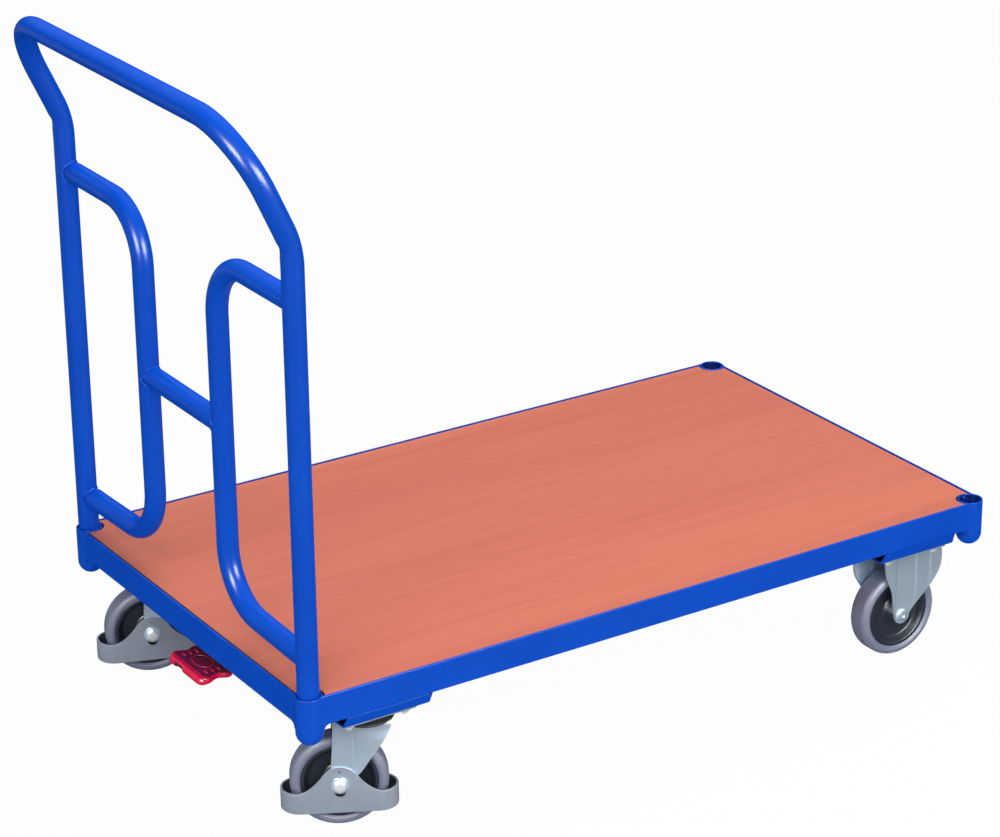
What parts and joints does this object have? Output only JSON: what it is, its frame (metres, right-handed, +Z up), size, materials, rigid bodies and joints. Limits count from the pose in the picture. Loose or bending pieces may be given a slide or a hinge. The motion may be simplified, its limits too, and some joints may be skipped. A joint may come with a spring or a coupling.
{
  "type": "platform trolley",
  "caption": "Platform trolley with a framed wooden deck, a tubular push bow with side brackets, fixed front castors, swivel rear castors with foot guards and a foot brake.",
  "frame": {"origin": "on the floor, under the middle of the platform frame", "axes": "+X along the platform to the end with the fixed castors, away from the push bow; +Y to the left as seen by the person pushing; +Z up"},
  "size_m": [1.1403, 0.6316, 0.9591],
  "materials": {
    "frame_paint": "glossy blue powder coat",
    "deck_wood": "beech-look board, satin",
    "zinc_steel": "zinc-plated pressed steel",
    "bearing_steel": "polished steel",
    "shoe_rubber": "black rubber",
    "tyre_rubber": "grey non-marking tyre",
    "rim_plastic": "dark moulded plastic",
    "bush_plastic": "pale plain bearing",
    "guard_plastic": "grey moulded plastic",
    "pedal_plastic": "red moulded plastic"
  },
  "bodies": {
    "frame": {"side_rail_left": "frame_paint", "side_rail_right": "frame_paint", "end_rail_front": "frame_paint", "end_rail_rear": "frame_paint", "socket_front_left": "frame_paint", "socket_front_right": "frame_paint", "socket_rear_left": "frame_paint", "socket_rear_right": "frame_paint", "deck_board": "deck_wood", "cross_bars_front": "frame_paint", "cross_bars_rear": "frame_paint", "pan_front_left": "frame_paint", "pan_front_right": "frame_paint", "pan_rear_left": "frame_paint", "pan_rear_right": "frame_paint", "castor_bolts": "zinc_steel", "castor_nuts": "zinc_steel", "fixed_fork_left": "zinc_steel", "fixed_fork_right": "zinc_steel", "fixed_axles": "zinc_steel", "swivel_plate_left": "zinc_steel", "swivel_plate_right": "zinc_steel", "kingpin_left": "zinc_steel", "kingpin_right": "zinc_steel", "brake_brackets": "frame_paint"},
    "front_wheel_left": {"tyre_front_left": "tyre_rubber", "rim_front_left": "rim_plastic", "bush_front_left": "bush_plastic"},
    "front_wheel_right": {"tyre_front_right": "tyre_rubber", "rim_front_right": "rim_plastic", "bush_front_right": "bush_plastic"},
    "swivel_left": {"swivel_fork_left": "zinc_steel", "swivel_balls_left": "bearing_steel", "axle_bolt_left": "zinc_steel", "axle_nut_left": "zinc_steel"},
    "rear_wheel_left": {"tyre_rear_left": "tyre_rubber", "rim_rear_left": "rim_plastic", "bush_rear_left": "bush_plastic"},
    "guard_left": {"foot_guard_left": "guard_plastic"},
    "plunger_left": {"brake_plunger_left": "zinc_steel", "brake_shoe_left": "shoe_rubber"},
    "swivel_right": {"swivel_fork_right": "zinc_steel", "swivel_balls_right": "bearing_steel", "axle_bolt_right": "zinc_steel", "axle_nut_right": "zinc_steel"},
    "rear_wheel_right": {"tyre_rear_right": "tyre_rubber", "rim_rear_right": "rim_plastic", "bush_rear_right": "bush_plastic"},
    "guard_right": {"foot_guard_right": "guard_plastic"},
    "plunger_right": {"brake_plunger_right": "zinc_steel", "brake_shoe_right": "shoe_rubber"},
    "brake_pedal": {"brake_shaft": "zinc_steel", "brake_levers": "zinc_steel", "pedal_arm": "zinc_steel", "pedal_pad": "pedal_plastic"},
    "push_bow": {"push_bow": "frame_paint", "side_bracket_left": "frame_paint", "side_bracket_right": "frame_paint", "cross_tube": "frame_paint"}
  },
  "joints": [
    {"name": "front_wheel_left_spin", "type": "hinge", "parent": "frame", "child": "front_wheel_left", "pos_m": [0.4235, 0.258, 0.0625], "axis": [0, 1, 0], "continuous": true},
    {"name": "front_wheel_right_spin", "type": "hinge", "parent": "frame", "child": "front_wheel_right", "pos_m": [0.4235, -0.258, 0.0625], "axis": [0, 1, 0], "continuous": true},
    {"name": "swivel_left_turn", "type": "hinge", "parent": "frame", "child": "swivel_left", "pos_m": [-0.42, 0.258, 0.15], "axis": [0, 0, 1], "continuous": true},
    {"name": "rear_wheel_left_spin", "type": "hinge", "parent": "swivel_left", "child": "rear_wheel_left", "pos_m": [-0.45195, 0.26963, 0.0625], "axis": [0.342, 0.9397, 0], "continuous": true},
    {"name": "guard_left_float", "type": "slide", "parent": "swivel_left", "child": "guard_left", "axis": [0, 0, 1], "range_m": [0, 0.0064]},
    {"name": "plunger_left_press", "type": "slide", "parent": "swivel_left", "child": "plunger_left", "axis": [0, 0, -1], "range_m": [0, 0.0062]},
    {"name": "swivel_right_turn", "type": "hinge", "parent": "frame", "child": "swivel_right", "pos_m": [-0.42, -0.258, 0.15], "axis": [0, 0, 1], "continuous": true},
    {"name": "rear_wheel_right_spin", "type": "hinge", "parent": "swivel_right", "child": "rear_wheel_right", "pos_m": [-0.45002, -0.24204, 0.0625], "axis": [0.4695, 0.8829, 0], "continuous": true},
    {"name": "guard_right_float", "type": "slide", "parent": "swivel_right", "child": "guard_right", "axis": [0, 0, 1], "range_m": [0, 0.0064]},
    {"name": "plunger_right_press", "type": "slide", "parent": "swivel_right", "child": "plunger_right", "axis": [0, 0, -1], "range_m": [0, 0.0062]},
    {"name": "pedal_press", "type": "hinge", "parent": "frame", "child": "brake_pedal", "pos_m": [-0.385, 0, 0.19], "axis": [0, -1, 0], "range_deg": [0, 10]},
    {"name": "push_bow_lift", "type": "slide", "parent": "frame", "child": "push_bow", "axis": [0, 0, 1], "range_m": [0, 0.038]}
  ],
  "couplings": [
    {"joint": "plunger_left_press", "follows": "pedal_press", "m_per_rad": 0.035},
    {"joint": "plunger_right_press", "follows": "pedal_press", "m_per_rad": 0.035}
  ]
}
